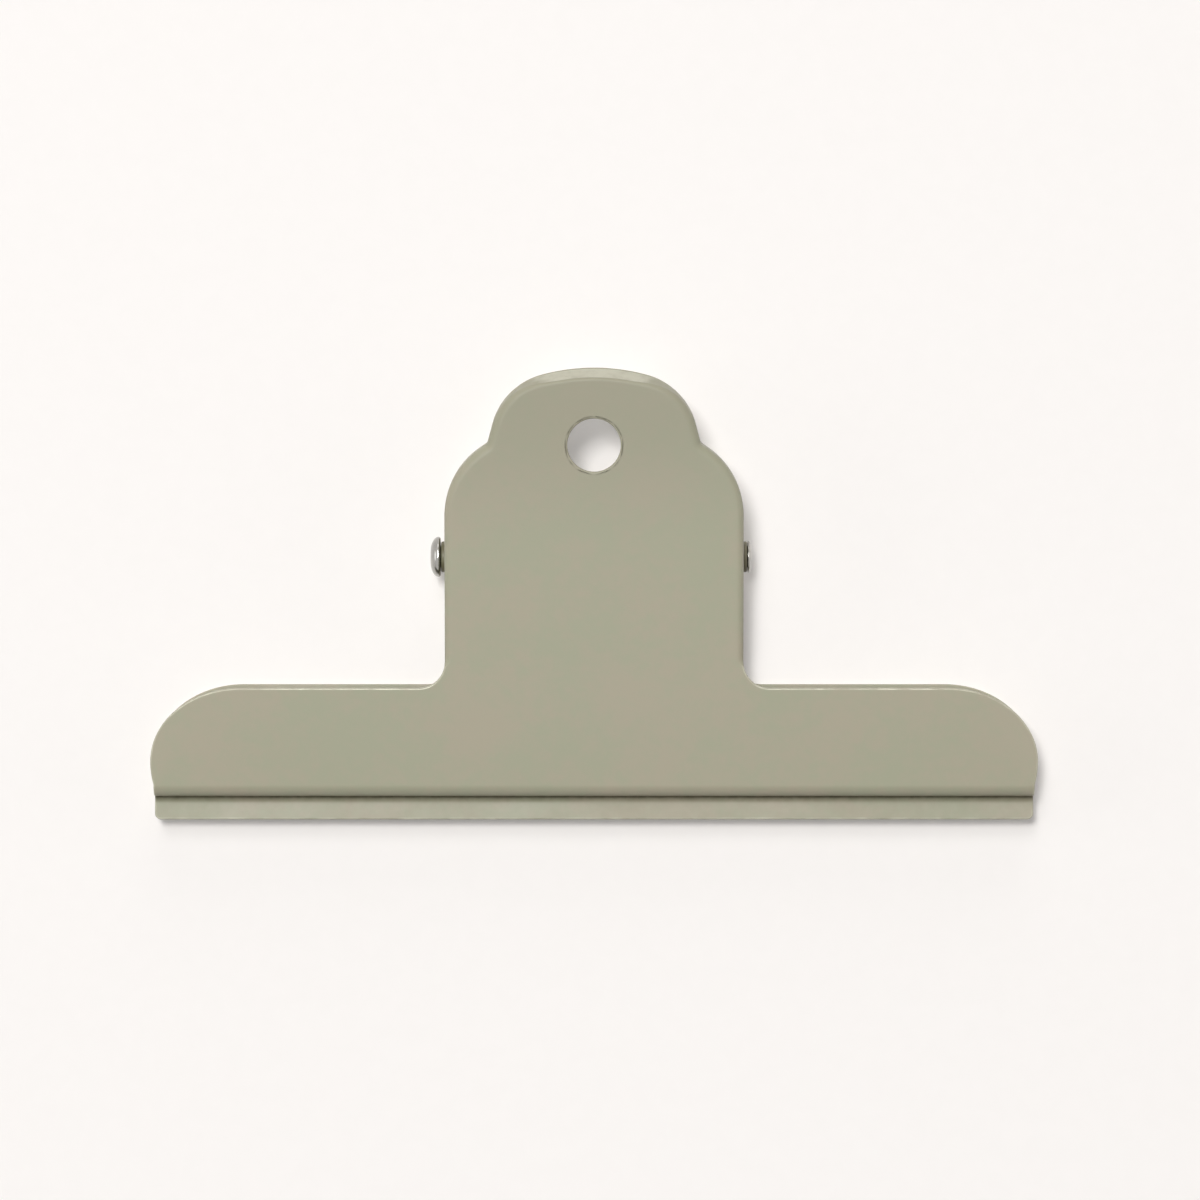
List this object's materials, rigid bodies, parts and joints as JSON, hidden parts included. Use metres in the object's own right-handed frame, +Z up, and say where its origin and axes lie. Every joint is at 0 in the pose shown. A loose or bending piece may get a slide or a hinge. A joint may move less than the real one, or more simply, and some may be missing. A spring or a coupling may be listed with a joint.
{
  "type": "wide spring clip",
  "caption": "Wide spring clip: T-shaped sheet-metal plates with long jaws, domed handles with a hanging hole, joined by a rod and closed by torsion springs.",
  "frame": {"origin": "middle of the footprint of the clip lying on its back, on the surface it lies on", "axes": "+X along the jaws to the viewer's right, +Y from the lips to the handles, +Z up, out of the front plate"},
  "size_m": [0.15, 0.077, 0.0213],
  "materials": {
    "plate_paint": "satin khaki grey-green powder coat",
    "rod_nickel": "bright nickel plating",
    "spring_steel": "drawn spring steel wire"
  },
  "bodies": {
    "rear": {"rear_plate": "plate_paint", "hinge_rod": "rod_nickel", "spring_left": "spring_steel", "spring_right": "spring_steel"},
    "front": {"front_plate": "plate_paint"}
  },
  "joints": [
    {"name": "jaw_hinge", "type": "hinge", "parent": "rear", "child": "front", "pos_m": [0, 0.00598, 0.0082], "axis": [-1, 0, 0], "range_deg": [0, 22], "stiffness_Nm_per_rad": 0.5, "springref_deg": -51.57, "deforming": ["spring_left", "spring_right"]}
  ]
}
